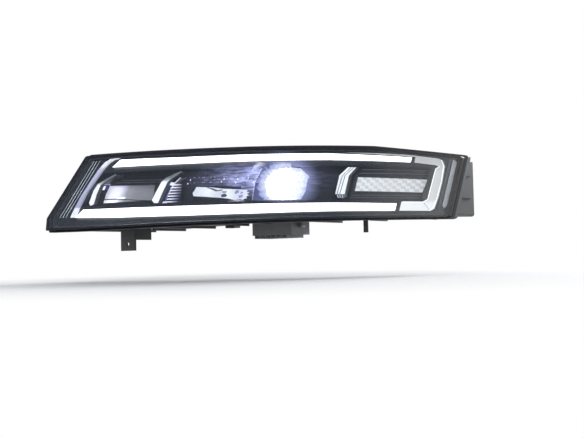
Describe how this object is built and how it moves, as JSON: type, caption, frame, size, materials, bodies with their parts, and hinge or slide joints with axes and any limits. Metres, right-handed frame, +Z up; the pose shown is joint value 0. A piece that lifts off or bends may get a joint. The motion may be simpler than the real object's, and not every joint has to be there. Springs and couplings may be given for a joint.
{
  "type": "car headlamp unit",
  "caption": "Swept LED headlamp with clear raked lens, two light bars, beam modules on a tilting carrier, black housing with mounting ears and a rear cover.",
  "frame": {"origin": "middle of the two top ears' holes, on the ears' underside, where they seat on the front carrier", "axes": "+Z up as fitted, -Y the way the car drives (the lens looks along -Y), +X the car's left, towards the outboard end"},
  "size_m": [0.5052, 0.5287, 0.1601],
  "materials": {
    "clear_lens": "clear hard-coated polycarbonate",
    "black_housing": "moulded talc-filled polypropylene",
    "bezel_gloss": "moulded gloss black",
    "light_guide": "lit white light guide",
    "white_optic": "milky diffusing optic",
    "grey_blade": "frosted light guide, unlit",
    "marker_lens": "pale side marker optic",
    "satin_trim": "satin metallized trim",
    "optic_glass": "clear moulded optic",
    "main_glow": "clear faceted optic in front of a lit board",
    "module_black": "module frame, black",
    "pillow_silver": "metallized pillow optics",
    "carrier_grey": "glass-filled nylon",
    "sink_alu": "die-cast",
    "steel": "zinc plated",
    "cover_black": "moulded cover",
    "motor_black": "moulded motor case",
    "rod_white": "acetal",
    "screw_white": "acetal adjuster",
    "breather_grey": "breather cap"
  },
  "bodies": {
    "lamp": {"outer_lens": "clear_lens", "housing": "black_housing", "housing_roof": "black_housing", "housing_floor": "black_housing", "housing_inboard_end": "black_housing", "housing_outboard_end": "black_housing", "bezel": "bezel_gloss", "drl_upper": "light_guide", "drl_lower": "light_guide", "turn_blade": "white_optic", "inner_blade": "grey_blade", "side_marker": "marker_lens", "side_reflex": "marker_lens", "trim_inboard": "satin_trim", "trim_middle": "satin_trim", "trim_outboard": "satin_trim", "comb_insert": "satin_trim", "pillow_lens": "pillow_silver", "pillow_body": "module_black", "pivot_pins": "steel", "levelling_motor": "motor_black", "driver_box": "sink_alu", "plug_socket": "cover_black", "breathers": "breather_grey", "ear_bushes": "steel", "aim_screws": "screw_white"},
    "beam_carrier": {"carrier": "carrier_grey", "heat_sinks": "sink_alu", "slim_inboard_lens": "optic_glass", "slim_inboard_body": "module_black", "slim_middle_lens": "optic_glass", "slim_middle_body": "module_black", "main_lens": "main_glow", "main_body": "module_black"},
    "levelling_rod": {"levelling_rod": "rod_white"},
    "rear_cover": {"rear_cover": "cover_black"}
  },
  "joints": [
    {"name": "levelling_tilt", "type": "hinge", "parent": "lamp", "child": "beam_carrier", "pos_m": [0, -0.062, -0.01], "axis": [1, 0, 0], "range_deg": [-1.5, 3.5]},
    {"name": "levelling_rod_slide", "type": "slide", "parent": "lamp", "child": "levelling_rod", "axis": [0, 1, 0], "range_m": [-0.0018, 0.0041]},
    {"name": "cover_turn", "type": "hinge", "parent": "lamp", "child": "rear_cover", "pos_m": [-0.042, -0.022, -0.05], "axis": [0, -1, 0], "range_deg": [0, 40]}
  ],
  "couplings": [
    {"joint": "levelling_rod_slide", "follows": "levelling_tilt", "m_per_rad": 0.066}
  ]
}
